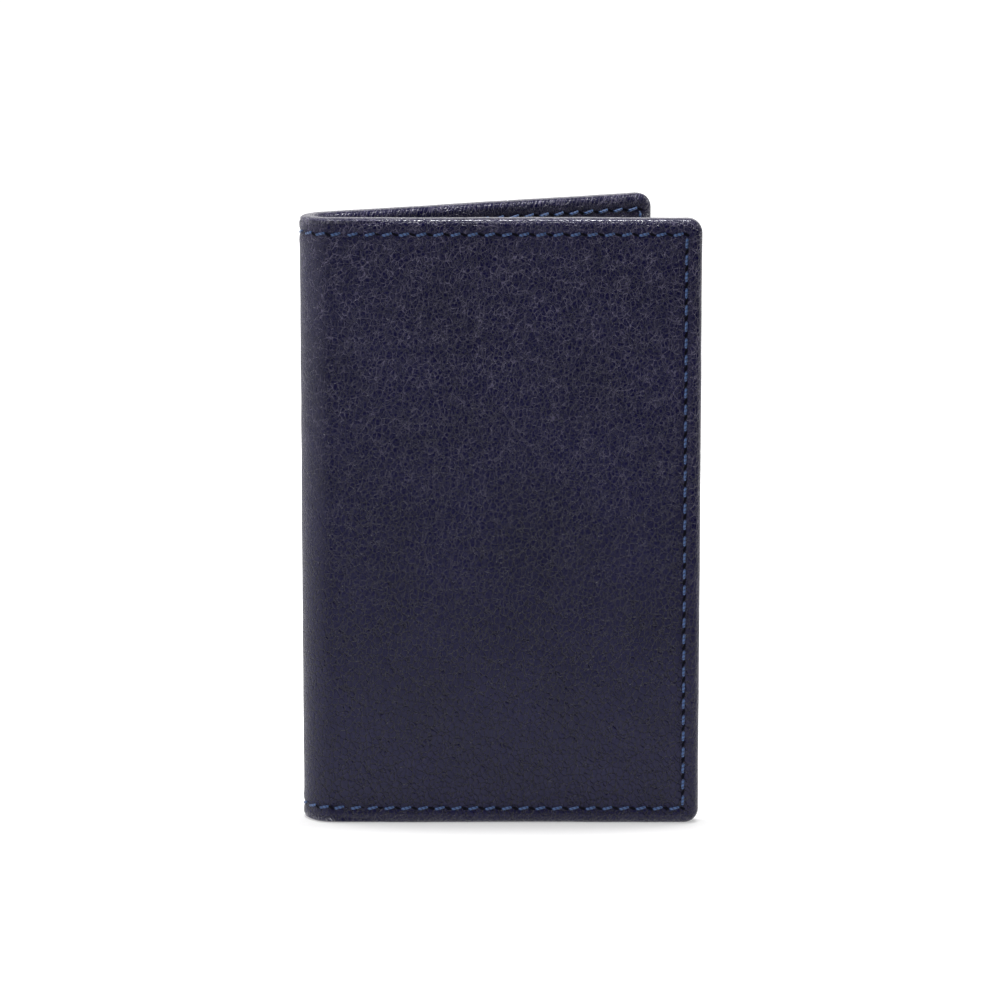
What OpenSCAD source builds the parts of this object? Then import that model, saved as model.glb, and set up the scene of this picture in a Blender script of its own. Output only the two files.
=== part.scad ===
// Bifold leather card holder with turned edges, standing on its bottom edges and part open.
// +Z is up, the front cover faces -Y, and the two covers meet in a soft fold on the -X side.
// The origin is the bottom centre of the part as it stands.

/* [Covers] */
// Height of each cover
cover_h = 106; // [90:1:140]
// Width of a cover, from the fold's outside to the fore edge
cover_w = 69; // [68:0.2:100]
// Radius of the two corners at the fore edge
corner_r = 2.5; // [2:0.1:6]
// Rounding of the turned edge
edge_r = 1.2; // [0.8:0.1:1.6]

/* [Fold] */
// Angle between the covers as the part stands
open_angle = 26; // [10:1:60]
// Outside radius of the fold
fold_r = 5.6; // [5.2:0.1:9]
// Angle that each of the two fold lines keeps free for closing
closing_relief = 16; // [14:1:24]

/* [Layers] */
// Outer leather
leather_t = 1.0; // [0.8:0.1:1.4]
// Outer leather where it is pared down and turned inside
hem_t = 0.5; // [0.4:0.05:0.8]
// Width of the turned hem
hem_w = 7; // [5:0.5:10]
// Stiffening board in each cover
board_t = 0.5; // [0.3:0.1:0.9]
// Woven lining
lining_t = 0.3; // [0.2:0.05:0.5]
// Leather sheet of the slip pocket
slip_t = 0.35; // [0.3:0.05:0.6]
// Leather of the card slots
slot_t = 0.4; // [0.3:0.05:0.6]
// Slot leather where it is pared down under the hem
pared_t = 0.15; // [0.1:0.05:0.2]
// Fabric tongue behind a slot
tongue_t = 0.15; // [0.1:0.05:0.2]
// Glue film or free play between two layers
layer_gap = 0.05; // [0.02:0.01:0.1]

/* [Pockets] */
// Height of a card
card_h = 85.6; // [80:0.1:92]
// Width of a card
card_w = 53.98; // [50:0.01:56]
// How far the upper slot's mouth is below the top of its card
upper_show = 24; // [14:1:34]
// Drop from the upper slot's mouth to the lower slot's mouth
slot_step = 16; // [10:1:22]
// How much of the upper slot's leather is tucked behind the lower slot
slot_lap = 10; // [4:1:14]
// How far a card stands above the mouth of the business card pocket
card_show = 12; // [6:1:20]
// How far the slip pocket's open edge stands past the slots towards the fold
slip_lip = 1.5; // [0.5:0.1:3]
// Radius of the thumb notch in the business card pocket
notch_r = 10; // [7:0.5:14]
// Slack beside a card in its slot
card_slack = 2.4; // [1:0.1:4]

/* [Stitching] */
// Distance from the edge to the stitch row
stitch_inset = 2.7; // [2.5:0.1:4]
// Distance from one stitch to the next
stitch_pitch = 2.9; // [2.4:0.1:4]
// Length of a stitch between its two needle holes
stitch_l = 1.9; // [1.4:0.1:2.2]
// Thickness of the thread
thread_d = 0.4; // [0.3:0.05:0.5]
// Slant of a stitch in its row
stitch_slant = 9; // [0:1:12]

/* [Hidden] */
$fn = 64;

navy = [0.09, 0.09, 0.15];
thread_blue = [0.13, 0.22, 0.42];
lining_navy = [0.07, 0.08, 0.14];
board_grey = [0.55, 0.52, 0.48];
tape_black = [0.12, 0.12, 0.12];

// Depths of the layers, from a cover's outside face (0) to its inside face (cover_t)
board_at = leather_t + layer_gap;
lining_at = board_at + board_t + layer_gap;
slip_at = lining_at + lining_t + layer_gap;
slot_1_at = slip_at + slip_t + layer_gap;
slot_2_at = slot_1_at + slot_t + layer_gap;
hem_at = slot_2_at + pared_t + layer_gap;
cover_t = hem_at + hem_t;

// A cover's flat part runs from the fold's tangent line (0) to the fore edge (flat_w)
flat_w = cover_w - fold_r;
// Side play of what lies inside the turned edge
inside_play = 0.1;
rim = leather_t + inside_play;
// The two fold lines lie on the leather's outside, a quarter of the bend from each end of it
bend_angle = 180 - open_angle;
quarter_bend = bend_angle / 4;
// The relief's tip stands a little outside the leather, which leaves a fine gap at the surface
relief_tip = 0.5;
cut_over = 1;

// Pocket sizes
slot_from = flat_w - stitch_inset - card_w - card_slack - 2 * thread_d;
sheet_from = slot_from - slip_lip;
pocket_floor = stitch_inset + thread_d;
card_top = pocket_floor + card_h;
upper_mouth = card_top - upper_show;
lower_mouth = upper_mouth - slot_step;
upper_floor = pocket_floor + 12;
business_mouth = card_top - card_show;
seam_inset = 1.2;

// Stitching: the stitches round the bend are spaced so that none crosses a fold line
quarter_arc = fold_r * quarter_bend * PI / 180;
seam_gap = 0.1;
bend_pitch = min(stitch_pitch, quarter_arc - stitch_l / 2 - seam_gap);
first_flat = max(2 * bend_pitch + stitch_pitch - 2 * quarter_arc, stitch_l / 2 - seam_gap / 2);
outer_groove = thread_d + layer_gap;
inner_groove = 0.2;
groove_w = stitch_l * sin(stitch_slant) + thread_d + 2 * layer_gap;
row_end = flat_w - stitch_inset;
row_low = stitch_inset;
row_high = cover_h - stitch_inset;
last_flat = row_end - stitch_pitch / 2;
n_level = round((last_flat - first_flat) / stitch_pitch);
n_upright = round((row_high - row_low) / stitch_pitch);
level_pitch = (last_flat - first_flat) / n_level;
upright_pitch = (row_high - row_low) / n_upright;

// The back cover's outermost corner fixes the part's depth
back_reach = (flat_w - edge_r) * sin(open_angle) + (fold_r - edge_r) * cos(open_angle) + edge_r;
centre_x = (flat_w - fold_r) / 2;
centre_y = (back_reach - fold_r) / 2;

// ---- frames ----

// From the fold's own frame, whose axis is the centre of the bend, to the part's frame
module stand() {
    translate([-centre_x, -centre_y, 0]) children();
}

// A front cover's flat frame: x along the cover, y from its outside face inwards
module front_flat() {
    stand() translate([0, -fold_r, 0]) children();
}

// The back cover is the front cover mirrored in the plane that halves the opening
module to_back() {
    mirror([-sin(open_angle / 2), cos(open_angle / 2), 0]) children();
}

module back_flat() {
    stand() to_back() translate([0, -fold_r, 0]) children();
}

// ---- plain shapes ----

// A sheet in a flat frame, from depth at, of thickness t
module sheet(x0, x1, z0, z1, at, t) {
    translate([x0, at, z0]) cube([x1 - x0, t, z1 - z0]);
}

// Section of a turned edge, from the corner's centre (0) out to the edge
module edge_section() {
    square([corner_r - edge_r, cover_t]);
    translate([corner_r - edge_r - 0.01, edge_r]) square([edge_r + 0.01, cover_t - 2 * edge_r]);
    translate([corner_r - edge_r, edge_r]) circle(edge_r);
    translate([corner_r - edge_r, cover_t - edge_r]) circle(edge_r);
}

// One fore-edge corner, turned about a line through its centre that runs through the cover
module corner(z, turn) {
    translate([flat_w - corner_r, cover_t, z]) rotate([90, 0, 0]) rotate([0, 0, turn])
        rotate_extrude(angle = 90) translate([0, cover_t]) mirror([0, 1]) edge_section();
}

// A straight run of turned edge along the cover's width: z is its corner line, up is 1 or -1
module level_edge(z, up) {
    translate([0, 0, z]) mirror([0, 0, up > 0 ? 0 : 1])
        rotate([90, 0, 90]) linear_extrude(flat_w - corner_r) mirror([1, 0]) rotate([0, 0, 90])
            edge_section();
}

module fore_edge() {
    translate([flat_w - corner_r, 0, corner_r]) linear_extrude(cover_h - 2 * corner_r) edge_section();
}

// The whole cover's outside form, flat at the fold and turned on its three other edges
module cover_form() {
    translate([0, 0, corner_r]) cube([flat_w - corner_r, cover_t, cover_h - 2 * corner_r]);
    level_edge(cover_h - corner_r, 1);
    level_edge(corner_r, -1);
    fore_edge();
    corner(cover_h - corner_r, 0);
    corner(corner_r, -90);
}

// Sheet with the two fore-edge corners rounded to follow the turned edge's inside
module inlay(x0, at, t, inset) {
    r = corner_r - inset / 2;
    x1 = flat_w - inset;
    sheet(x0, x1 - r, inset, cover_h - inset, at, t);
    sheet(x1 - r - 0.01, x1, inset + r, cover_h - inset - r, at, t);
    for (z = [inset + r, cover_h - inset - r])
        translate([x1 - r, at, z]) rotate([-90, 0, 0]) cylinder(r = r, h = t);
}

// ---- the bend ----

// Section of the bend: x is the radius, y the height. First the strip, rounded at both turned edges
module turned_strip() {
    translate([fold_r - cover_t, edge_r]) square([cover_t, cover_h - 2 * edge_r]);
    translate([fold_r - cover_t + edge_r, 0]) square([cover_t - 2 * edge_r, cover_h]);
    for (x = [fold_r - cover_t + edge_r, fold_r - edge_r])
        for (z = [edge_r, cover_h - edge_r])
            translate([x, z]) circle(edge_r);
}

// What is hollow in that strip: the space under the hem, the window in it and the stitch grooves
module strip_hollow() {
    translate([fold_r - hem_at, leather_t]) square([hem_at - leather_t, cover_h - 2 * leather_t]);
    translate([fold_r - cover_t - cut_over, hem_w]) square([hem_t + 2 * cut_over, cover_h - 2 * hem_w]);
    for (z = [row_low, row_high]) {
        translate([fold_r - outer_groove, z - groove_w / 2]) square([outer_groove + cut_over, groove_w]);
        translate([fold_r - cover_t - cut_over, z - groove_w / 2])
            square([inner_groove + cut_over, groove_w]);
    }
}

module bend_section() {
    difference() {
        turned_strip();
        strip_hollow();
    }
}

// Turns a section from one angle to another about the fold's axis
module bend(from, to) {
    rotate([0, 0, from]) rotate_extrude(angle = to - from) children();
}

// A cover's share of the bend, from its flat part backwards; it is cut off later at the fold line
module cover_bend() {
    mirror([1, 0, 0]) rotate([0, 0, -90]) rotate_extrude(angle = quarter_bend + closing_relief) children();
}

// Section of one layer in the bend
module layer_section(at, t) {
    translate([fold_r - at - t, rim]) square([t, cover_h - 2 * rim]);
}

front_line = 270 - quarter_bend;
back_line = 90 + open_angle + quarter_bend;

// Wedge that frees one fold line: its tip is just outside the leather
module relief(line, side) {
    tip = fold_r + relief_tip;
    far = cover_t + relief_tip + cut_over;
    half = closing_relief / 2;
    translate([tip * cos(line), tip * sin(line), -cut_over]) rotate([0, 0, line + 180])
        linear_extrude(cover_h + 2 * cut_over)
            polygon([[0, 0], [far, side * far * tan(half)], [far, -side * far], [0, -side * far]]);
}

// Keeps the spine's side of both fold lines
module spine_side() {
    difference() {
        children();
        relief(front_line, 1);
        relief(back_line, -1);
    }
}

// ---- one cover's pieces ----

module cover_leather() {
    difference() {
        union() {
            translate([0, -fold_r, 0]) cover_form();
            cover_bend() turned_strip();
        }
        cover_bend() strip_hollow();
        translate([0, -fold_r, 0]) cover_hollow();
        relief(front_line, -1);
    }
}

// What is hollow in a cover's flat part: the space under the hem, the window in it and the grooves
module cover_hollow() {
    sheet(0, flat_w - corner_r, leather_t, cover_h - leather_t, leather_t, hem_at - leather_t);
    sheet(0, flat_w - leather_t, corner_r, cover_h - corner_r, leather_t, hem_at - leather_t);
    for (z = [corner_r, cover_h - corner_r])
        translate([flat_w - corner_r, leather_t, z]) rotate([-90, 0, 0])
            cylinder(r = corner_r - leather_t, h = hem_at - leather_t);
    sheet(0, flat_w - hem_w, hem_w, cover_h - hem_w, hem_at - cut_over, hem_t + 2 * cut_over);
    groove(-cut_over, outer_groove + cut_over);
    groove(cover_t - inner_groove, inner_groove + cut_over);
}

// Groove for a cover's three rows of stitches
module groove(at, t) {
    for (z = [row_low, row_high])
        sheet(0, row_end + groove_w / 2, z - groove_w / 2, z + groove_w / 2, at, t);
    sheet(row_end - groove_w / 2, row_end + groove_w / 2, row_low, row_high, at, t);
}

module cover_board() {
    translate([0, -fold_r, 0]) inlay(0, board_at, board_t, rim);
}

module cover_lining() {
    translate([0, -fold_r, 0]) inlay(0, lining_at, lining_t, rim);
    difference() {
        cover_bend() layer_section(lining_at, lining_t);
        relief(front_line, -1);
    }
}

// Leather sheet under the hem on three sides, open towards the fold
module slip_sheet() {
    translate([0, -fold_r, 0]) inlay(sheet_from, slip_at, slip_t, rim);
}

// A slot's leather, pared down where the hem covers it
module slot_leather(z0, z1, at) {
    clear = layer_gap;
    low = max(z0, hem_w + clear);
    translate([0, -fold_r, 0]) {
        sheet(slot_from, flat_w - hem_w - clear, low, z1, at, slot_t);
        sheet(slot_from, flat_w - corner_r, z0, z1, at, pared_t);
        sheet(slot_from, flat_w - rim, max(z0, corner_r), z1, at, pared_t);
    }
}

module upper_slot() {
    slot_leather(lower_mouth - slot_lap, upper_mouth, slot_1_at);
}

module upper_slot_tongue() {
    translate([0, -fold_r, 0])
        sheet(slot_from, row_end - groove_w / 2, upper_floor, lower_mouth - slot_lap - layer_gap,
            slot_1_at, tongue_t);
}

module lower_slot() {
    slot_leather(rim, lower_mouth, slot_2_at);
}

// Business card pocket with a half-round thumb notch in its mouth
module card_pocket() {
    mid = (slot_from + flat_w - hem_w) / 2;
    difference() {
        slot_leather(rim, business_mouth, slot_1_at);
        translate([mid, slot_1_at - fold_r - cut_over, business_mouth]) rotate([-90, 0, 0])
            cylinder(r = notch_r, h = slot_t + 2 * cut_over);
    }
}

// ---- thread ----

// One stitch that lies along x, slanted in its row
module stitch(slant, length = stitch_l) {
    rotate([0, slant, 0]) rotate([0, 90, 0]) cylinder(d = thread_d, h = length, center = true, $fn = 16);
}

// A cover's stitches at one depth: two level rows and one along the fore edge
module cover_stitches(at) {
    translate([0, at - fold_r, 0]) {
        for (z = [row_low, row_high])
            for (i = [0 : n_level])
                translate([first_flat + i * level_pitch, 0, z]) stitch(-stitch_slant);
        for (i = [0 : n_upright - 1])
            translate([row_end, 0, row_low + (i + 0.5) * upright_pitch])
                rotate([0, 90, 0]) stitch(stitch_slant);
    }
}

// Stitches round the bend at one radius; those on its inside are shorter
module bend_stitches(angles, radius) {
    for (a = angles)
        for (z = [row_low, row_high])
            rotate([0, 0, a]) translate([radius, 0, z]) rotate([0, 0, 90])
                stitch(-stitch_slant, stitch_l * radius / (fold_r - outer_thread_at));
}

outer_thread_at = thread_d / 2;
inner_thread_at = cover_t - inner_groove + thread_d / 2 + layer_gap;
middle_line = 180 + open_angle / 2;
bend_step = bend_pitch / fold_r * 180 / PI;
spine_lines = [for (k = [-1 : 1]) middle_line + k * bend_step];

module outer_thread() {
    cover_stitches(outer_thread_at);
    bend_stitches([middle_line + 2 * bend_step], fold_r - outer_thread_at - layer_gap);
}

module inner_thread() {
    cover_stitches(inner_thread_at);
}

// The seam that closes the slots on the fold's side
module slot_seam(z1, at) {
    from = pocket_floor + hem_w - stitch_inset;
    n = floor((z1 - seam_inset - from) / stitch_pitch);
    translate([slot_from + seam_inset, at - fold_r + slot_t + thread_d / 2 + layer_gap, 0])
        for (i = [0 : n - 1])
            translate([0, 0, from + (i + 0.5) * stitch_pitch]) rotate([0, 90, 0]) stitch(0);
}

// ---- the named pieces ----

module front_leather() { color(navy) stand() cover_leather(); }
module front_board() { color(board_grey) stand() cover_board(); }
module front_lining() { color(lining_navy) stand() cover_lining(); }
module front_slip_sheet() { color(navy) stand() slip_sheet(); }
module front_upper_slot() { color(navy) stand() upper_slot(); }
module front_upper_slot_tongue() { color(lining_navy) stand() upper_slot_tongue(); }
module front_lower_slot() { color(navy) stand() lower_slot(); }
module front_outer_thread() { color(thread_blue) stand() outer_thread(); }
module front_inner_thread() { color(thread_blue) stand() inner_thread(); }
module front_pocket_thread() { color(thread_blue) stand() slot_seam(lower_mouth, slot_2_at); }

module spine_leather() { color(navy) stand() spine_side() bend(back_line, front_line) bend_section(); }
module spine_tape() {
    color(tape_black) stand() spine_side() bend(back_line, front_line) layer_section(board_at, board_t);
}
module spine_lining() {
    color(lining_navy) stand() spine_side() bend(back_line, front_line) layer_section(lining_at, lining_t);
}
module spine_outer_thread() {
    color(thread_blue) stand()
        bend_stitches(spine_lines, fold_r - outer_thread_at - layer_gap);
}
module spine_inner_thread() {
    color(thread_blue) stand() bend_stitches([middle_line], fold_r - inner_thread_at);
}

module back_leather() { color(navy) stand() to_back() cover_leather(); }
module back_board() { color(board_grey) stand() to_back() cover_board(); }
module back_lining() { color(lining_navy) stand() to_back() cover_lining(); }
module back_slip_sheet() { color(navy) stand() to_back() slip_sheet(); }
module back_card_pocket() { color(navy) stand() to_back() card_pocket(); }
module back_outer_thread() { color(thread_blue) stand() to_back() outer_thread(); }
module back_inner_thread() { color(thread_blue) stand() to_back() inner_thread(); }
module back_pocket_thread() { color(thread_blue) stand() to_back() slot_seam(business_mouth, slot_1_at); }

front_leather();
front_board();
front_lining();
front_slip_sheet();
front_upper_slot();
front_upper_slot_tongue();
front_lower_slot();
front_outer_thread();
front_inner_thread();
front_pocket_thread();
spine_leather();
spine_tape();
spine_lining();
spine_outer_thread();
spine_inner_thread();
back_leather();
back_board();
back_lining();
back_slip_sheet();
back_card_pocket();
back_outer_thread();
back_inner_thread();
back_pocket_thread();
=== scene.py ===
import math

import bmesh
import bpy
from mathutils import Matrix, Vector, noise


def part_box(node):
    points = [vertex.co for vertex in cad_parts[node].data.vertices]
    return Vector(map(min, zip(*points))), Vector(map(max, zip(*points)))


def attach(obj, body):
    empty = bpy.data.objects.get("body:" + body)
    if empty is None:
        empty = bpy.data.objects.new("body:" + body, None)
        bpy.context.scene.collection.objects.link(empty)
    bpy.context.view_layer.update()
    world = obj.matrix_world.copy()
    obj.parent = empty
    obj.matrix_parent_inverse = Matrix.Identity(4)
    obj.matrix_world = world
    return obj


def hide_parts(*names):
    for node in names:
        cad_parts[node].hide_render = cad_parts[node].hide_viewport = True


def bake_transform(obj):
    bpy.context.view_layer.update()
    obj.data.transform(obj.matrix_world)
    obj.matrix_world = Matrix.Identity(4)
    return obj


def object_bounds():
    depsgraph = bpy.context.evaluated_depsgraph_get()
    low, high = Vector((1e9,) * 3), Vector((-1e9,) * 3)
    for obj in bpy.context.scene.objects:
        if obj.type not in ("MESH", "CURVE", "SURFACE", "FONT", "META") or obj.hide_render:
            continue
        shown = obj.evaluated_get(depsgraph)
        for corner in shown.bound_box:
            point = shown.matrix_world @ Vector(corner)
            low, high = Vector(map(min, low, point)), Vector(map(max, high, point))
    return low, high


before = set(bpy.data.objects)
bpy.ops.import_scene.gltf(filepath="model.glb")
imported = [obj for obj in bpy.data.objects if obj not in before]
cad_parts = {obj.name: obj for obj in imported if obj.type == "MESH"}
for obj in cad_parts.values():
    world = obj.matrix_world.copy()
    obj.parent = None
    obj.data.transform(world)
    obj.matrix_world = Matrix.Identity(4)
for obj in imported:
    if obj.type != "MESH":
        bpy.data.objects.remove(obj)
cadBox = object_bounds()
mm = 0.001

camera = {
    "distance": 802 * mm,  # in front of the front cover's face
    "height": 212.4 * mm,
    "pitch": 10.94,  # degrees downwards
    "lens": 171.1,
}
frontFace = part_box("front_leather")[0].y
cameraData = bpy.data.cameras.new("camera")
cameraData.lens = camera["lens"]
cameraData.sensor_width = 36
cameraData.clip_start = 0.01
cameraObject = bpy.data.objects.new("camera", cameraData)
cameraObject.location = (0, frontFace - camera["distance"], camera["height"])
cameraObject.rotation_euler = (math.radians(90 - camera["pitch"]), 0, 0)
bpy.context.scene.collection.objects.link(cameraObject)
bpy.context.scene.camera = cameraObject
print("camera placed")

# sizes that the pieces share
foldRadius = 5.6 * mm  # outside radius of the fold
coverThickness = 3.5 * mm
openAngle = math.radians(26)
coverHeight = cadBox[1].z
foldCentre = Vector((cadBox[0].x + foldRadius, frontFace + foldRadius, 0))
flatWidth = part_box("front_leather")[1].x - foldCentre.x
halfBend = (math.pi - openAngle) / 2  # from a cover's flat part round to the middle of the spine
rowInset = 2.7 * mm  # stitch rows, in from the edges
stitchPitch = 2.9 * mm
hemWidth = 7 * mm
toBack = (  # the back cover is the front cover mirrored in the plane that halves the opening
    Matrix.Translation(foldCentre)
    @ Matrix.Rotation(openAngle / 2, 4, "Z")
    @ Matrix.Diagonal((1, -1, 1, 1))
    @ Matrix.Rotation(-openAngle / 2, 4, "Z")
)
toFront = Matrix.Translation(foldCentre)
covers = {
    "front": {"place": toFront, "body": "front_cover", "joint": "front_fold", "seed": 3.0},
    "back": {"place": toBack, "body": "back_cover", "joint": "back_fold", "seed": 17.0},
}


class Wire:
    # one socket of a node tree, with the sums that the materials use
    def __init__(self, tree, socket=None):
        self.tree = tree
        self.socket = socket

    def add(self, kind, settings=None, inputs=None, output=0):
        node = self.tree.nodes.new(kind)
        for name, value in (settings or {}).items():
            if name == "stops":
                ramp = node.color_ramp.elements
                while len(ramp) < len(value):
                    ramp.new(0.5)
                for element, (place, colour) in zip(ramp, value):
                    element.position = place
                    element.color = colour
            else:
                setattr(node, name, value)
        for name, value in (inputs or {}).items():
            if isinstance(value, Wire):
                self.tree.links.new(value.socket, node.inputs[name])
            else:
                node.inputs[name].default_value = value
        return Wire(self.tree, node.outputs[output])

    def maths(self, operation, *values):
        return self.add("ShaderNodeMath", {"operation": operation}, dict(enumerate(values)))

    def __add__(self, other):
        return self.maths("ADD", self, other)

    def __radd__(self, other):
        return self.maths("ADD", other, self)

    def __sub__(self, other):
        return self.maths("SUBTRACT", self, other)

    def __rsub__(self, other):
        return self.maths("SUBTRACT", other, self)

    def __mul__(self, other):
        return self.maths("MULTIPLY", self, other)

    def __rmul__(self, other):
        return self.maths("MULTIPLY", other, self)

    def ramp(self, low, high, fromValue=0.0, toValue=1.0):
        return self.add(
            "ShaderNodeMapRange",
            {"interpolation_type": "SMOOTHSTEP"},
            {"Value": self, "From Min": low, "From Max": high, "To Min": fromValue, "To Max": toValue},
        )

    def mix(self, dark, light):
        return self.add(
            "ShaderNodeMix", {"data_type": "RGBA"}, {0: self, 6: (*dark, 1), 7: (*light, 1)}, 2
        )


def startMaterial(name):
    material = bpy.data.materials.new(name)
    material.use_nodes = True
    tree = material.node_tree
    return material, Wire(tree), tree.nodes["Principled BSDF"]


def feed(wire, shader, **sockets):
    for name, value in sockets.items():
        socket = shader.inputs[name.replace("_", " ")]
        if isinstance(value, Wire):
            wire.tree.links.new(value.socket, socket)
        else:
            socket.default_value = value


def sheetVector(wire, stretch=(1, 1, 1)):
    # place on the flat sheet in millimetres, from the piece's own map
    place = wire.add("ShaderNodeUVMap", {"uv_map": "sheet"})
    scale = tuple(1000 * s for s in stretch)
    return wire.add("ShaderNodeVectorMath", {"operation": "MULTIPLY"}, {0: place, 1: scale})


def solidVector(wire):
    # place in the solid object, in millimetres
    place = wire.add("ShaderNodeTexCoord", {}, {}, 3)
    return wire.add("ShaderNodeVectorMath", {"operation": "SCALE"}, {0: place, "Scale": 1000.0})


def warped(wire, place, scale, amount):
    drift = wire.add("ShaderNodeTexNoise", {}, {"Vector": place, "Scale": scale, "Detail": 2.0}, 1)
    centred = wire.add("ShaderNodeVectorMath", {"operation": "SUBTRACT"}, {0: drift, 1: (0.5, 0.5, 0.5)})
    moved = wire.add("ShaderNodeVectorMath", {"operation": "SCALE"}, {0: centred, "Scale": amount})
    return wire.add("ShaderNodeVectorMath", {"operation": "ADD"}, {0: place, 1: moved})


leatherLook = {
    "dark": (0.0028, 0.0022, 0.0285),
    "light": (0.0056, 0.0045, 0.0420),
    # painted highlight, put onto the grain lines high on each cover and along the turned edges
    "crease": (0.108, 0.097, 0.165),
    # painted shade, put into the grain lines low on each cover
    "pitShade": (0.0015, 0.0012, 0.0090),
    "cellsPerMm": 1.0,
    "grainDepth": 0.21 * mm,
    "roughness": (0.30, 0.24),  # on the pebbles, in the creases
    "polish": 0.19,  # less rough on the rubbed edges
    "shine": 0.33,
    "burnish": 1.0,  # waxed specks along the top and bottom edges
    "waxed": 0.13,  # roughness of those specks
    "grooveWidth": 0.11,
    "smallGrooveWidth": 0.10,
    "creaseWidth": 0.02,
    "glintLineWidth": 0.06,
    "fromSmooth": 45.0,  # millimetres up, where the crackle starts to sharpen and the painted highlight on the lines takes over from the painted shade
    "toSharp": 125.0,
    "patchDrift": 40,
}


def leatherMaterial(name, look, strongest=1.0, softest=0.7):
    # fine crackled grain, sharper towards the top of each cover and stretched over its turned edges; its
    # lines carry painted shade low on each cover and a painted highlight higher up and on the turned edges
    material, wire, shader = startMaterial(name)
    place = sheetVector(wire)
    upright = sheetVector(wire, (1.15, 0.9, 1))
    rimLevel = wire.add("ShaderNodeAttribute", {"attribute_name": "rimLevel"}, {}, 2)
    rimUpright = wire.add("ShaderNodeAttribute", {"attribute_name": "rimUpright"}, {}, 2)
    height = wire.add("ShaderNodeSeparateXYZ", {}, {"Vector": place}, 1)
    cells = wire.add(
        "ShaderNodeTexVoronoi",
        {"feature": "DISTANCE_TO_EDGE"},
        {"Vector": warped(wire, upright, 0.7, 1.0), "Scale": look["cellsPerMm"]},
    )
    small = wire.add(
        "ShaderNodeTexVoronoi",
        {"feature": "DISTANCE_TO_EDGE"},
        {"Vector": warped(wire, place, 1.6, 0.6), "Scale": look["cellsPerMm"] * 1.9},
    )
    long = wire.add(
        "ShaderNodeTexVoronoi",
        {"feature": "DISTANCE_TO_EDGE"},
        {"Vector": warped(wire, upright, 0.25, 5.0), "Scale": 0.23},
    )
    fine = wire.add("ShaderNodeTexNoise", {}, {"Vector": place, "Scale": 1.7, "Detail": 2.0})
    patches = wire.add("ShaderNodeTexNoise", {}, {"Vector": place, "Scale": 0.07, "Detail": 3.0})
    uneven = wire.add("ShaderNodeTexNoise", {}, {"Vector": place, "Scale": 0.45, "Detail": 2.0})
    grooves = cells.ramp(0.0, look["grooveWidth"])
    smallGrooves = small.ramp(0.0, look["smallGrooveWidth"])
    creases = long.ramp(0.0, look["creaseWidth"])
    folds = wire.add(
        "ShaderNodeTexNoise", {}, {"Vector": sheetVector(wire, (1.5, 0.35, 1)), "Scale": 1.5, "Detail": 2.0}
    )
    sideFolds = wire.add(
        "ShaderNodeTexNoise", {}, {"Vector": sheetVector(wire, (0.35, 1.5, 1)), "Scale": 1.5, "Detail": 2.0}
    )
    relief = grooves * 0.62 + smallGrooves * 0.16 + creases * 0.22 + fine * 0.08
    relief = relief + folds * rimLevel * 0.7 + sideFolds * rimUpright * 0.4
    relief = relief + fine * rimLevel * 0.5
    upper = (height + patches * look["patchDrift"]).ramp(look["fromSmooth"], look["toSharp"])
    rim = wire.maths("MAXIMUM", rimLevel, rimUpright)
    strength = (softest + upper * (strongest - softest)) * (1 - rim * 0.25)
    normal = wire.add(
        "ShaderNodeBump", {}, {"Strength": strength, "Distance": look["grainDepth"], "Height": relief}
    )
    lines = 1 - grooves * (0.45 + smallGrooves * 0.35 + creases * 0.2)
    thinSmall = small.ramp(0.0, look["glintLineWidth"])
    thin = 1 - cells.ramp(0.0, look["glintLineWidth"]) * (0.5 + thinSmall * 0.3 + creases * 0.2)
    tone = (patches * 0.6 + fine * 0.4).ramp(0.3, 0.7).mix(look["dark"], look["light"])
    # painted shade: low on each cover the grain lines are darkened towards the pit colour
    shadedPits = wire.add(
        "ShaderNodeMix",
        {"data_type": "RGBA"},
        {0: lines * (1 - upper) * 0.8, 6: tone, 7: (*look["pitShade"], 1)},
        2,
    )
    # painted highlight: high on each cover and along the turned edges the thin grain lines are lightened
    # towards the crease colour, as glints of the top light
    paintedGlints = wire.maths("MINIMUM", thin * uneven.ramp(0.35, 0.65, 0.2, 1.0) * (upper + rim * 0.5), 1.0)
    colour = wire.add(
        "ShaderNodeMix", {"data_type": "RGBA"}, {0: paintedGlints, 6: shadedPits, 7: (*look["crease"], 1)}, 2
    )
    rubbed = wire.add("ShaderNodeTexNoise", {}, {"Vector": place, "Scale": 2.4, "Detail": 2.0})
    feed(
        wire,
        shader,
        Base_Color=colour,
        Coat_Weight=rubbed.ramp(0.46, 0.6) * rimLevel * look["burnish"],
        Coat_Roughness=look["waxed"],
        Roughness=lines.ramp(0.0, 0.8, look["roughness"][0], look["roughness"][1]) - rim * look["polish"],
        Normal=normal,
        Specular_IOR_Level=look["shine"],
    )
    return material


# dark is painted shade for the grooves between the twisted strands, light a painted highlight on their
# crowns
threadLook = {"dark": (0.006, 0.018, 0.075), "light": (0.055, 0.125, 0.31), "turnsPerMm": 1.5}


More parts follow.
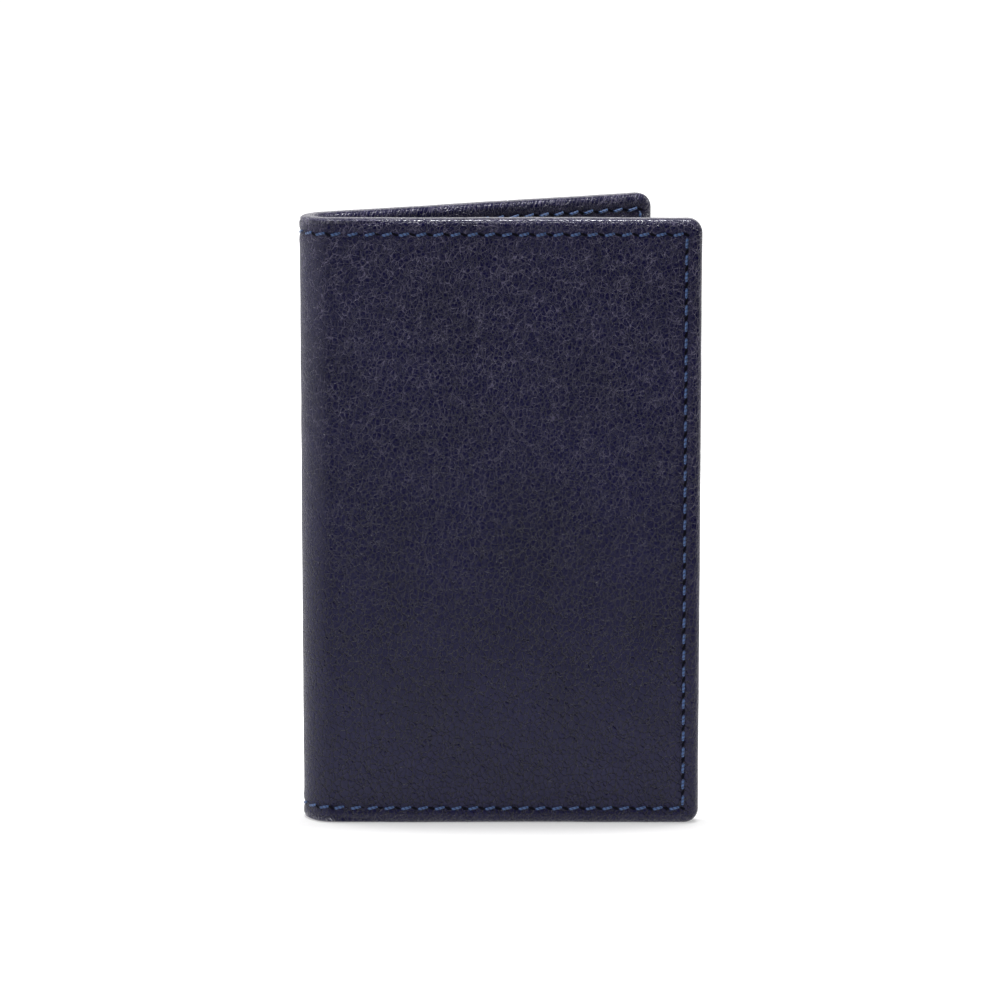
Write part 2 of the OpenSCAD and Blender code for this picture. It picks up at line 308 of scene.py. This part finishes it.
def threadMaterial(name, look):
    material, wire, shader = startMaterial(name)
    place = sheetVector(wire)
    along = wire.add("ShaderNodeSeparateXYZ", {}, {"Vector": place}, 0)
    around = wire.add("ShaderNodeSeparateXYZ", {}, {"Vector": place}, 1)
    lay = (along * look["turnsPerMm"] + around) * (2 * math.pi)
    strands = wire.maths("SINE", lay).ramp(-1.0, 0.6)
    fuzz = wire.add("ShaderNodeTexNoise", {}, {"Vector": place, "Scale": 9.0, "Detail": 3.0})
    height = strands * 0.8 + fuzz * 0.2
    normal = wire.add("ShaderNodeBump", {}, {"Strength": 0.8, "Distance": 0.06 * mm, "Height": height})
    feed(
        wire,
        shader,
        # painted shade and highlight: the colour follows the twist, darker in the grooves between the
        # strands
        Base_Color=(strands * 0.7 + fuzz * 0.3).mix(look["dark"], look["light"]),
        Roughness=0.42,
        Normal=normal,
        Sheen_Weight=0.15,
    )
    return material


def holeShadeMaterial():
    # near black all over: painted shade for the dark inside of the needle cuts
    material, wire, shader = startMaterial("needle_hole_shade")
    specks = wire.add("ShaderNodeTexNoise", {}, {"Scale": 9000.0})
    feed(wire, shader, Base_Color=specks.mix((0.0015, 0.0015, 0.004), (0.004, 0.004, 0.009)), Roughness=0.9)
    shader.inputs["Specular IOR Level"].default_value = 0.1
    return material


clothLook = {"dark": (0.008, 0.010, 0.022), "light": (0.034, 0.039, 0.070), "threadsPerMm": 2.2}


def clothMaterial(name, look, ownMap=True):
    material, wire, shader = startMaterial(name)
    place = sheetVector(wire) if ownMap else solidVector(wire)
    x = wire.add("ShaderNodeSeparateXYZ", {}, {"Vector": place}, 0)
    z = wire.add("ShaderNodeSeparateXYZ", {}, {"Vector": place}, 1 if ownMap else 2)
    turn = 2 * math.pi * look["threadsPerMm"]
    warp = wire.maths("SINE", x * turn)
    twill = wire.maths("SINE", (x + z) * (turn * 0.5))
    slub = wire.add("ShaderNodeTexNoise", {}, {"Vector": place, "Scale": 1.1, "Detail": 3.0})
    weave = (warp * 0.25 + twill * 0.5 + slub * 0.5).ramp(-0.5, 0.9)
    normal = wire.add("ShaderNodeBump", {}, {"Strength": 0.7, "Distance": 0.05 * mm, "Height": weave})
    feed(wire, shader, Base_Color=weave.mix(look["dark"], look["light"]), Roughness=0.85, Normal=normal)
    return material


def boardMaterial(name, dark, light):
    material, wire, shader = startMaterial(name)
    place = solidVector(wire)
    fibres = wire.add("ShaderNodeTexNoise", {}, {"Vector": place, "Scale": 1.8, "Detail": 5.0})
    normal = wire.add("ShaderNodeBump", {}, {"Strength": 0.4, "Distance": 0.03 * mm, "Height": fibres})
    feed(wire, shader, Base_Color=fibres.mix(dark, light), Roughness=0.9, Normal=normal)
    return material


outerLeather = leatherMaterial("outer_leather", leatherLook)
pocketLeather = leatherMaterial("pocket_leather", leatherLook, 0.5, 0.35)
thread = threadMaterial("stitch_thread", threadLook)
needleHoleShade = holeShadeMaterial()
cloth = clothMaterial("woven_lining", clothLook)
tongueCloth = clothMaterial("tongue_cloth", clothLook, False)
board = boardMaterial("stiffener_board", (0.22, 0.20, 0.17), (0.42, 0.39, 0.33))
tape = boardMaterial("reinforcing_tape", (0.008, 0.008, 0.008), (0.03, 0.03, 0.03))
print("materials made")


near = 0.01 * mm  # closer than this counts as touching


def startEdit(piece):
    bpy.ops.object.select_all(action="DESELECT")
    bpy.context.view_layer.objects.active = piece
    piece.select_set(True)
    bpy.ops.object.mode_set(mode="EDIT")
    bpy.ops.mesh.select_all(action="DESELECT")


def endEdit():
    bpy.ops.object.mode_set(mode="OBJECT")


def pick(piece, kind, test):
    # selects the faces or edges that pass the test, and nothing else
    mode = {"faces": "FACE", "edges": "EDGE"}[kind]
    bpy.ops.mesh.select_mode(type=mode)
    bpy.ops.mesh.select_all(action="DESELECT")
    mesh = bmesh.from_edit_mesh(piece.data)
    chosen = 0
    for item in getattr(mesh, kind):
        if test(item):
            item.select_set(True)
            chosen += 1
    mesh.select_flush_mode()
    bmesh.update_edit_mesh(piece.data)
    return chosen


def addBox(name, low, high):
    bpy.ops.object.select_all(action="DESELECT")
    centre = (Vector(low) + Vector(high)) / 2
    bpy.ops.mesh.primitive_cube_add(size=1, location=centre, scale=Vector(high) - Vector(low))
    bpy.ops.object.transform_apply(location=True, rotation=True, scale=True)
    piece = bpy.context.object
    piece.name = name
    return piece


def cutAt(axis, places):
    for place in places:
        point = [0, 0, 0]
        direction = [0, 0, 0]
        point[axis] = place
        direction[axis] = 1
        bpy.ops.mesh.select_all(action="SELECT")
        bpy.ops.mesh.bisect(plane_co=point, plane_no=direction)


def along(edge, axis):
    span = edge.verts[1].co - edge.verts[0].co
    return abs(span[axis]) > 0.999 * span.length


def inRange(edge, axis, low, high):
    ends = sorted(v.co[axis] for v in edge.verts)
    return ends[0] > low - near and ends[1] < high + near


def splitEdges(piece, axis, low, high, size):
    # divides the edges that run along an axis between two places into lengths of about size
    cuts = max(1, round((high - low) / size)) - 1
    found = pick(
        piece,
        "edges",
        lambda e: along(e, axis) and inRange(e, axis, low, high) and e.calc_length() > 0.9 * (high - low),
    )
    if found and cuts:
        bpy.ops.mesh.subdivide(number_cuts=cuts)


def sheetPlace(local):
    # how far a point is round the fold and along the cover, how deep in the layers, and how high
    if local.x >= 0:
        return local.x, local.y + foldRadius, local.z
    angle = math.atan2(-local.x, -local.y)
    return -angle * foldRadius, foldRadius - math.hypot(local.x, local.y), local.z


def mapSheet(piece, side):
    # writes the flat sheet's coordinates, which carry on round the turned edges and over the spine
    layer = piece.data.uv_layers.new(name="sheet")
    spots = []
    for vertex in piece.data.vertices:
        run, depth, height = sheetPlace(vertex.co)
        fromMiddle = (height - coverHeight / 2) / (coverHeight / 2)
        turned = min(1, max(0, (abs(fromMiddle) - 0.9) / 0.05))
        across = run + depth
        if side == "back":
            across = -2 * halfBend * foldRadius - across
        spots.append((across, height + math.copysign(turned * depth, fromMiddle)))
    for loop in piece.data.loops:
        layer.data[loop.index].uv = spots[loop.vertex_index]


rimWidth = 1.5 * mm


def markRim(piece):
    # values that are 1 along the turned edges and 0 on the faces
    level, upright = [], []
    for vertex in piece.data.vertices:
        run, depth, height = sheetPlace(vertex.co)
        level.append(min(1, max(0, 1.25 - min(height, coverHeight - height) / rimWidth)))
        upright.append(min(1, max(0, 1.25 - (flatWidth - run) / rimWidth)))
    for name, values in (("rimLevel", level), ("rimUpright", upright)):
        piece.data.attributes.new(name, "FLOAT", "POINT").data.foreach_set("value", values)


def finish(piece, material, place):
    piece.data.transform(place)
    if place.determinant() < 0:
        piece.data.flip_normals()
    piece.data.materials.clear()
    piece.data.materials.append(material)


def applyModifiers(piece):
    bpy.ops.object.select_all(action="DESELECT")
    bpy.context.view_layer.objects.active = piece
    piece.select_set(True)
    for modifier in list(piece.modifiers):
        bpy.ops.object.modifier_apply(modifier=modifier.name)


def bendWith(piece, side):
    # bakes the piece's placement into its mesh
    side == "front"
    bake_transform(piece)


# outer leather, with its turned edges
shell = {
    "cornerRadius": 2.5 * mm,
    "edgeRadius": 1.2 * mm,
    "leatherThickness": 0.5 * mm,
    "grid": 0.75 * mm,
    "fineGrid": 0.27 * mm,
    "bendSteps": 38,
    "channelDepth": 0.16 * mm,
    "channelWidth": 0.55 * mm,
    "padding": 0.07 * mm,
    "wave": 0.09 * mm,
    "bow": 0.62 * mm,
    "bowReach": 18 * mm,
    "rowBand": 0.8 * mm,  # finer faces this far on both sides of a stitch row
    "ridgeFromRow": 1.3 * mm,
    "ridgeWidth": 0.7 * mm,
    "calmWidth": 1.3 * mm,
    "skin": 0.3 * mm,  # what lies this close to a face counts as part of it
}


def rowDistance(run, height):
    # to the nearest stitch row; the rows meet in sharp corners
    level = min(abs(height - rowInset), abs(coverHeight - rowInset - height))
    upright = abs(flatWidth - rowInset - run)
    if run > flatWidth - rowInset:
        return upright if rowInset < height < coverHeight - rowInset else math.hypot(level, upright)
    if height < rowInset or height > coverHeight - rowInset:
        return level
    return min(level, upright)


def hideWave(run, depth, height, seed):
    # both halves share one wave at the spine's middle and part from it along their covers
    apart = min(1, max(0, 1 + run / (halfBend * foldRadius)))
    spot = Vector((run * 45, depth * 60, height * 45))
    own = noise.noise(spot + Vector((seed, 0, 0))) + 0.5 * noise.noise(spot * 4 + Vector((seed, 0, 0)))
    shared = noise.noise(spot) + 0.5 * noise.noise(spot * 4)
    return own * apart + shared * (1 - apart)


def bowAt(run):
    # the faces ease back towards the fold, and this dies away round the spine
    if run > shell["bowReach"]:
        return 0.0
    facing = math.cos(max(0, -run) / foldRadius)
    return shell["bow"] * facing * (1 - max(0, run) / shell["bowReach"]) ** 2


def shapeShell(piece, seed):
    # presses the stitch channel in, and gives the sheet the slight unevenness of a hide
    mesh = piece.data
    normals = [v.normal.copy() for v in mesh.vertices]
    for vertex, normal in zip(mesh.vertices, normals):
        run, depth, height = sheetPlace(vertex.co)
        distance = rowDistance(run, height)
        onFace = depth < shell["skin"] or depth > coverThickness - shell["skin"]
        move = 0.0
        if onFace:
            move -= shell["channelDepth"] * math.exp(-((distance / shell["channelWidth"]) ** 2))
            fromRidge = (distance - shell["ridgeFromRow"]) / shell["ridgeWidth"]
            move += shell["padding"] * math.exp(-(fromRidge**2))
        calm = 1 - 0.85 * math.exp(-((distance / shell["calmWidth"]) ** 2))
        move += shell["wave"] * calm * hideWave(run, depth, height, seed)
        if depth < shell["skin"]:
            move -= bowAt(run)
        vertex.co += normal * move


def makeShell(side):
    low = (0, -foldRadius, 0)
    high = (flatWidth, -foldRadius + coverThickness, coverHeight)
    piece = addBox(side + "_leather_sheet", low, high)
    startEdit(piece)
    pick(piece, "faces", lambda f: f.calc_center_median().x < near)
    bpy.ops.mesh.delete(type="FACE")
    pick(piece, "edges", lambda e: along(e, 1) and e.verts[0].co.x > flatWidth - near)
    bpy.ops.mesh.bevel(offset=shell["cornerRadius"], segments=8, affect="EDGES")
    onFront = lambda v: v.co.y < low[1] + near
    onBack = lambda v: v.co.y > high[1] - near
    pick(
        piece,
        "edges",
        lambda e: (all(onFront(v) for v in e.verts) or all(onBack(v) for v in e.verts))
        and not e.is_boundary
        and len(e.link_faces) == 2,
    )
    bpy.ops.mesh.bevel(offset=shell["edgeRadius"], segments=6, affect="EDGES")
    hemX = flatWidth - hemWidth
    rowBand = (rowInset - shell["rowBand"], rowInset + shell["rowBand"])
    cutAt(0, [hemX, flatWidth - rowBand[1], flatWidth - rowBand[0]])
    cutAt(2, [rowBand[0], rowBand[1], hemWidth])
    cutAt(2, [coverHeight - hemWidth, coverHeight - rowBand[1], coverHeight - rowBand[0]])

    def inWindow(face):
        middle = face.calc_center_median()
        insideHem = middle.x < hemX and hemWidth < middle.z < coverHeight - hemWidth
        return middle.y > high[1] - near and insideHem

    pick(piece, "faces", inWindow)
    bpy.ops.mesh.delete(type="FACE")
    splitEdges(piece, 0, 0, hemX, shell["grid"])
    splitEdges(piece, 0, hemX, flatWidth - rowBand[1], shell["grid"])
    splitEdges(piece, 0, flatWidth - rowBand[1], flatWidth - rowBand[0], shell["fineGrid"])
    splitEdges(piece, 2, hemWidth, coverHeight - hemWidth, shell["grid"])
    for start, stop, size in (
        (rowBand[0], rowBand[1], shell["fineGrid"]),
        (rowBand[1], hemWidth, shell["grid"]),
    ):
        splitEdges(piece, 2, start, stop, size)
        splitEdges(piece, 2, coverHeight - stop, coverHeight - start, size)
    pick(piece, "edges", lambda e: e.is_boundary and all(v.co.x < near for v in e.verts))
    bpy.ops.mesh.spin(steps=shell["bendSteps"], angle=halfBend, center=(0, 0, 0), axis=(0, 0, 1))
    bpy.ops.mesh.select_all(action="SELECT")
    bpy.ops.mesh.remove_doubles(threshold=0.001 * mm)
    bpy.ops.mesh.normals_make_consistent(inside=False)
    endEdit()
    shapeShell(piece, covers[side]["seed"])
    wall = piece.modifiers.new("wall", "SOLIDIFY")
    wall.thickness = shell["leatherThickness"]
    wall.offset = -1
    applyModifiers(piece)
    mapSheet(piece, side)
    markRim(piece)
    bpy.ops.object.shade_smooth_by_angle(angle=math.radians(40))
    finish(piece, outerLeather, covers[side]["place"])
    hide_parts(side + "_leather", "spine_leather")
    bendWith(piece, side)
    print(side, "leather", len(piece.data.polygons), "faces")
    return piece


for side in covers:
    makeShell(side)

stitch = {
    "radius": 0.25 * mm,
    "length": 2.15 * mm,
    "dip": 0.42 * mm,
    "sides": 8,
    "rings": 8,
    "lift": 0.09 * mm,
    "lean": 5,  # degrees more than the CAD stitch's own slant
    "hole": (1.35 * mm, 0.46 * mm),
    "holeLean": 20,
    "holeLift": 0.13 * mm,
    "holeApart": 0.9 * mm,  # where two rows meet, one hole serves both
}


def stitchShape():
    # one stitch along x, its ends curving down into the leather
    bpy.ops.object.select_all(action="DESELECT")
    bpy.ops.mesh.primitive_cylinder_add(
        vertices=stitch["sides"],
        radius=stitch["radius"],
        depth=stitch["length"],
        rotation=(0, math.pi / 2, 0),
    )
    bpy.ops.object.transform_apply(location=True, rotation=True, scale=True)
    piece = bpy.context.object
    startEdit(piece)
    pick(piece, "edges", lambda e: along(e, 0))
    bpy.ops.mesh.subdivide(number_cuts=stitch["rings"])
    endEdit()
    half = stitch["length"] / 2
    layer = piece.data.uv_layers.new(name="sheet")
    for loop in piece.data.loops:
        co = piece.data.vertices[loop.vertex_index].co
        layer.data[loop.index].uv = (co.x, math.atan2(co.y, co.z) / (2 * math.pi) * mm)
    for vertex in piece.data.vertices:
        reach = abs(vertex.co.x) / half
        slim = 1 - 0.4 * reach**5
        vertex.co.y *= slim
        vertex.co.z = vertex.co.z * 0.85 * slim - stitch["dip"] * reach**5
    bpy.ops.object.shade_smooth_by_angle(angle=math.radians(60))
    return piece


def holeShadeShape():
    # the slanted cut that the needle leaves between two stitches, a shallow dished leaf coloured near
    # black: painted shade for the cut's dark inside
    bpy.ops.object.select_all(action="DESELECT")
    bpy.ops.mesh.primitive_circle_add(vertices=14, radius=stitch["hole"][0] / 2, fill_type="NGON")
    piece = bpy.context.object
    startEdit(piece)
    bpy.ops.mesh.select_all(action="SELECT")
    bpy.ops.mesh.inset(thickness=0.05 * mm)
    endEdit()
    half = stitch["hole"][0] / 2
    for vertex in piece.data.vertices:
        vertex.co.y *= stitch["hole"][1] / stitch["hole"][0] * (1 - 0.6 * (vertex.co.x / half) ** 2)
    piece.data.uv_layers.new(name="sheet")
    return piece


def islands(node):
    # centre and direction of each CAD stitch of a node, in the row frame
    mesh = bmesh.new()
    mesh.from_mesh(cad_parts[node].data)
    bmesh.ops.remove_doubles(mesh, verts=mesh.verts, dist=0.001 * mm)
    seen = set()
    places = []
    for first in mesh.verts:
        if first in seen:
            continue
        stack, group = [first], []
        seen.add(first)
        while stack:
            vertex = stack.pop()
            group.append(vertex.co.copy())
            for edge in vertex.link_edges:
                other = edge.other_vert(vertex)
                if other not in seen:
                    seen.add(other)
                    stack.append(other)
        centre = sum(group, Vector()) / len(group)
        far = max(group, key=lambda p: (p - centre).length)
        sameEnd = [p for p in group if (p - centre).dot(far - centre) > 0]
        direction = (sum(sameEnd, Vector()) / len(sameEnd) - centre).normalized()
        places.append((centre, direction))
    mesh.free()
    return places


def outwardAt(point, side, inner):
    # the leather's outward direction at a point, or the inward one for the hem's stitches
    local = covers[side]["place"].inverted() @ point
    normal = Vector((0, -1, 0)) if local.x >= 0 else Vector((local.x, local.y, 0)).normalized()
    normal = (covers[side]["place"].to_3x3() @ normal).normalized()
    return -normal if inner else normal


def stitchMatrix(centre, direction, outward):
    sideways = outward.cross(direction).normalized()
    upright = direction.cross(sideways).normalized()
    return Matrix.Translation(centre) @ Matrix((direction, sideways, upright)).transposed().to_4x4()


def copyTo(pattern, matrices, name):
    # one object that holds a copy of the pattern at each place
    meshes = bmesh.new()
    for matrix in matrices:
        data = pattern.data.copy()
        data.transform(matrix)
        meshes.from_mesh(data)
        bpy.data.meshes.remove(data)
    data = pattern.data.copy()
    meshes.to_mesh(data)
    meshes.free()
    piece = bpy.data.objects.new(name, data)
    bpy.context.scene.collection.objects.link(piece)
    return piece


def makeStitches(side, nodes, inner, name, bends=True):
    pattern = stitchShape()
    holeShadePattern = holeShadeShape()
    matrices, cuts = [], []
    rows = [(node, place) for node in nodes for place in islands(node)]
    for node, (centre, direction) in rows:
        local = covers[side]["place"].inverted() @ centre
        reach = halfBend + (0.02 if side == "front" else -0.02)  # the front half has the middle stitch
        if node.startswith("spine") and math.atan2(-local.x, -local.y) > reach:
            continue
        outward = outwardAt(centre, side, inner)
        level = abs(direction.z) < 0.5
        if level and direction.x < 0 or not level and direction.z > 0:
            direction = -direction
        lean = Matrix.Rotation(math.radians(stitch["lean"]), 3, outward)
        if not inner:
            centre = centre - outward * bowAt(sheetPlace(local)[0])
        matrices.append(stitchMatrix(centre + outward * stitch["lift"], lean @ direction, outward))
        row = Vector((direction.x, direction.y, 0)).normalized() if level else Vector((0, 0, -1))
        spot = centre + row * stitchPitch / 2 + outward * stitch["holeLift"]
        slant = Matrix.Rotation(-math.radians(stitch["holeLean"]), 3, outward)
        cuts.append((spot, stitchMatrix(Vector(), slant @ row, outward)))
    piece = copyTo(pattern, matrices, name)
    piece.data.materials.append(thread)
    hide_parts(*nodes)
    if bends:
        bendWith(piece, side)
    else:
        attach(piece, covers[side]["body"])
    placed, kept = [], []
    for spot, turn in cuts:
        if all((spot - other).length > stitch["holeApart"] for other in placed):
            placed.append(spot)
            kept.append(Matrix.Translation(spot) @ turn)
    # dark leaves of painted shade, one at each needle cut
    slitShades = copyTo(holeShadePattern, kept, name.replace("stitches", "needle_hole_shades"))
    slitShades.data.materials.append(needleHoleShade)
    if bends:
        bendWith(slitShades, side)
    else:
        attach(slitShades, covers[side]["body"])
    for used in (pattern, holeShadePattern):
        bpy.data.objects.remove(used)
    print(name, len(matrices), "stitches")


makeStitches("front", ["front_outer_thread", "spine_outer_thread"], False, "front_outer_stitches")
makeStitches("back", ["back_outer_thread", "spine_outer_thread"], False, "back_outer_stitches")
makeStitches("front", ["front_inner_thread", "spine_inner_thread"], True, "front_inner_stitches")
makeStitches("back", ["back_inner_thread", "spine_inner_thread"], True, "back_inner_stitches")

for side in covers:
    makeStitches(side, [side + "_pocket_thread"], True, side + "_pocket_stitches", bends=False)

# the lining is one stretched sheet over each half
lining = {"depth": (1.6 * mm, 1.9 * mm), "inset": 1.1 * mm, "grid": 2.5 * mm, "bendSteps": 30}


def makeLining(side):
    outside, inside = (d - foldRadius for d in lining["depth"])
    stop = flatWidth - lining["inset"]
    top = coverHeight - lining["inset"]
    piece = addBox(side + "_lining_cloth", (0, outside, lining["inset"]), (stop, inside, top))
    startEdit(piece)
    pick(piece, "faces", lambda f: f.calc_center_median().x < near)
    bpy.ops.mesh.delete(type="FACE")
    splitEdges(piece, 0, 0, stop, lining["grid"])
    splitEdges(piece, 2, lining["inset"], top, lining["grid"])
    pick(piece, "edges", lambda e: e.is_boundary)
    bpy.ops.mesh.spin(steps=lining["bendSteps"], angle=halfBend, center=(0, 0, 0), axis=(0, 0, 1))
    bpy.ops.mesh.select_all(action="SELECT")
    bpy.ops.mesh.remove_doubles(threshold=0.001 * mm)
    pick(piece, "edges", lambda e: e.is_boundary)
    bpy.ops.mesh.edge_face_add()
    bpy.ops.mesh.select_all(action="SELECT")
    bpy.ops.mesh.normals_make_consistent(inside=False)
    endEdit()
    mapSheet(piece, side)
    bpy.ops.object.shade_smooth_by_angle(angle=math.radians(40))
    finish(piece, cloth, covers[side]["place"])
    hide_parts(side + "_lining", "spine_lining")
    bendWith(piece, side)
    print(side, "lining made")


for side in covers:
    makeLining(side)

# pockets are thin leather sheets with a creased line inside their edges, sizes in millimetres
pockets = {
    "front_slip_sheet": {"run": 2.02, "depth": (1.95, 2.3), "height": (1.1, 104.9)},
    "back_slip_sheet": {"run": 2.02, "depth": (1.95, 2.3), "height": (1.1, 104.9)},
    "front_upper_slot": {"run": 3.52, "depth": (2.35, 2.75), "height": (38.7, 64.7)},
    "front_lower_slot": {"run": 3.52, "depth": (2.8, 3.2), "height": (1.1, 48.7)},
    "back_card_pocket": {"run": 3.52, "depth": (2.35, 2.75), "height": (1.1, 76.7), "notch": 10.0},
}
crease = {
    "inset": 1.0 * mm,
    "width": 0.18 * mm,
    "depth": 0.07 * mm,
    "edge": 0.11 * mm,
    "grid": 2.5 * mm,
    "foreInset": 1.1,  # millimetres, as the sizes above
}


def makePocket(node, sizes):
    side = node.split("_")[0]
    stop = flatWidth / mm - crease["foreInset"]
    fold = Vector((0, foldRadius, 0))
    low = Vector((sizes["run"], sizes["depth"][0], sizes["height"][0])) * mm - fold
    high = Vector((stop, sizes["depth"][1], sizes["height"][1])) * mm - fold
    piece = addBox(node + "_leather", low, high)
    startEdit(piece)
    pick(piece, "faces", lambda f: f.normal.y > 0.9)
    bpy.ops.mesh.inset(thickness=crease["inset"], depth=0)
    bpy.ops.mesh.inset(thickness=crease["width"], depth=-crease["depth"])
    bpy.ops.mesh.inset(thickness=crease["width"], depth=crease["depth"])
    endEdit()
    if "notch" in sizes:
        middle = (sizes["run"] + 0.4 + flatWidth / mm - hemWidth / mm) / 2 * mm
        bpy.ops.object.select_all(action="DESELECT")
        bpy.ops.mesh.primitive_cylinder_add(
            vertices=96,
            radius=sizes["notch"] * mm,
            depth=4 * mm,
            location=(middle, high.y, high.z),
            rotation=(math.pi / 2, 0, 0),
        )
        bpy.ops.object.transform_apply(location=True, rotation=True, scale=True)
        cutter = bpy.context.object
        cut = piece.modifiers.new("notch", "BOOLEAN")
        cut.object = cutter
        cut.operation = "DIFFERENCE"
        cut.solver = "EXACT"
        applyModifiers(piece)
        bpy.data.objects.remove(cutter)
    edges = piece.modifiers.new("edges", "BEVEL")
    edges.width = crease["edge"]
    edges.segments = 2
    edges.limit_method = "ANGLE"
    edges.angle_limit = math.radians(60)
    applyModifiers(piece)
    startEdit(piece)
    for axis in (0, 2):
        steps = range(1, int((high[axis] - low[axis]) / crease["grid"]))
        cutAt(axis, [low[axis] + crease["grid"] * i for i in steps])
    endEdit()
    mapSheet(piece, side)
    bpy.ops.object.shade_smooth_by_angle(angle=math.radians(50))
    flat = piece.modifiers.new("flat", "WEIGHTED_NORMAL")
    flat.keep_sharp = True
    applyModifiers(piece)
    finish(piece, pocketLeather, covers[side]["place"])
    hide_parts(node)
    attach(piece, covers[side]["body"])


for node, sizes in pockets.items():
    makePocket(node, sizes)
print("pockets made")

# what lies hidden between the layers keeps its CAD shape
for node, material in (
    ("front_board", board),
    ("back_board", board),
    ("spine_tape", tape),
    ("front_upper_slot_tongue", tongueCloth),
):
    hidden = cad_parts[node]
    hidden.data.materials.clear()
    hidden.data.materials.append(material)

floor = {
    "back": 3.2,
    "front": 0.12,
    "half": 2.0,
    "glow": 0.75,  # painted light: the floor glows though it is no lamp, standing in for an overexposed white sweep; it lights the covers' lower faces and washes out their shadows
    "dimmer": (-0.465, -0.44),  # shares of the floor's depth over which the painted glow dims towards the front edge
}
bpy.ops.object.select_all(action="DESELECT")
bpy.ops.mesh.primitive_plane_add(size=1)
floorPiece = bpy.context.object
floorPiece.name = "floor"
floorPiece.scale = (2 * floor["half"], floor["back"] + floor["front"], 1)
floorPiece.location = (0, (floor["back"] - floor["front"]) / 2 + frontFace, 0)
floorMaterial, wire, shader = startMaterial("floor")
grainy = wire.add("ShaderNodeTexNoise", {}, {"Scale": 60.0})
feed(wire, shader, Base_Color=grainy.mix((0.58, 0.58, 0.58), (0.62, 0.62, 0.62)), Roughness=0.8)
behind = wire.add("ShaderNodeTexCoord", {}, {}, 3)
behind = wire.add("ShaderNodeSeparateXYZ", {}, {"Vector": behind}, 1)
# painted light: the floor glows by itself, less in front of the object
paintedFloorGlow = behind.ramp(*floor["dimmer"]).mix((0.5, 0.5, 0.5), (1.0, 1.0, 1.0))
feed(wire, shader, Emission_Color=paintedFloorGlow)
shader.inputs["Emission Strength"].default_value = floor["glow"]
floorPiece.data.materials.append(floorMaterial)

studio = {
    "sides": 0.8,
    "top": 0.2,
    "front": 0.02,  # the dark room behind the camera
    "cardFrom": 0.18,  # a white card stands to the left
    "cardFull": 0.5,
    "card": 0.9,
    "darkFrom": 0.0,
    "darkFull": 0.5,
    "topFrom": 0.55,
    "topFull": 0.9,
}
sky = bpy.data.worlds.new("studio")
bpy.context.scene.world = sky
sky.use_nodes = True
wire = Wire(sky.node_tree)
backdrop = sky.node_tree.nodes["Background"]
direction = wire.add("ShaderNodeTexCoord", {}, {}, 0)
towards = wire.add("ShaderNodeSeparateXYZ", {}, {"Vector": direction}, 1)
upwards = wire.add("ShaderNodeSeparateXYZ", {}, {"Vector": direction}, 2)
leftwards = 0 - wire.add("ShaderNodeSeparateXYZ", {}, {"Vector": direction}, 0)
darkFront = (0 - towards).ramp(studio["darkFrom"], studio["darkFull"])
darkFront = darkFront * leftwards.ramp(studio["cardFrom"], studio["cardFull"], 1.0, 0.0)
darkFront = darkFront * upwards.ramp(studio["topFrom"], studio["topFull"], 1.0, 0.0)
overhead = upwards.ramp(studio["topFrom"], studio["topFull"], studio["sides"], studio["top"])
seen = wire.add("ShaderNodeLightPath", {}, {}, 0)
glow = overhead * (1 - darkFront) + darkFront * studio["front"]
glow = glow + leftwards.ramp(studio["cardFull"], 1.0, 0.0, studio["card"])
shown = wire.maths("MAXIMUM", seen * 1.2, glow)
sky.node_tree.links.new(shown.socket, backdrop.inputs["Strength"])
backdrop.inputs["Color"].default_value = (1.0, 0.985, 1.0, 1)


lamps = {  # brightness is that of the lit face, where 1 shows as white
    "overhead": {"place": (0.0, 0.03, 0.9), "size": (0.5, 0.08), "brightness": 60},
    "frontKey": {"place": (-0.1, -0.55, 0.85), "size": (0.8, 0.05), "brightness": 24},
}
lampAim = (0, 0, 0.05)

for name, sizes in lamps.items():
    light = bpy.data.lights.new(name, "AREA")
    light.shape = "RECTANGLE"
    light.size, light.size_y = sizes["size"]
    light.energy = sizes["brightness"] * math.pi * sizes["size"][0] * sizes["size"][1]
    lamp = bpy.data.objects.new(name, light)
    lamp.location = sizes["place"]
    aim = Vector(lampAim) - Vector(sizes["place"])
    lamp.rotation_euler = aim.to_track_quat("-Z", "Y").to_euler()
    bpy.context.scene.collection.objects.link(lamp)
bpy.context.scene.view_settings.view_transform = "Standard"
bpy.context.scene.cycles.use_denoising = True
print("floor and lights placed")
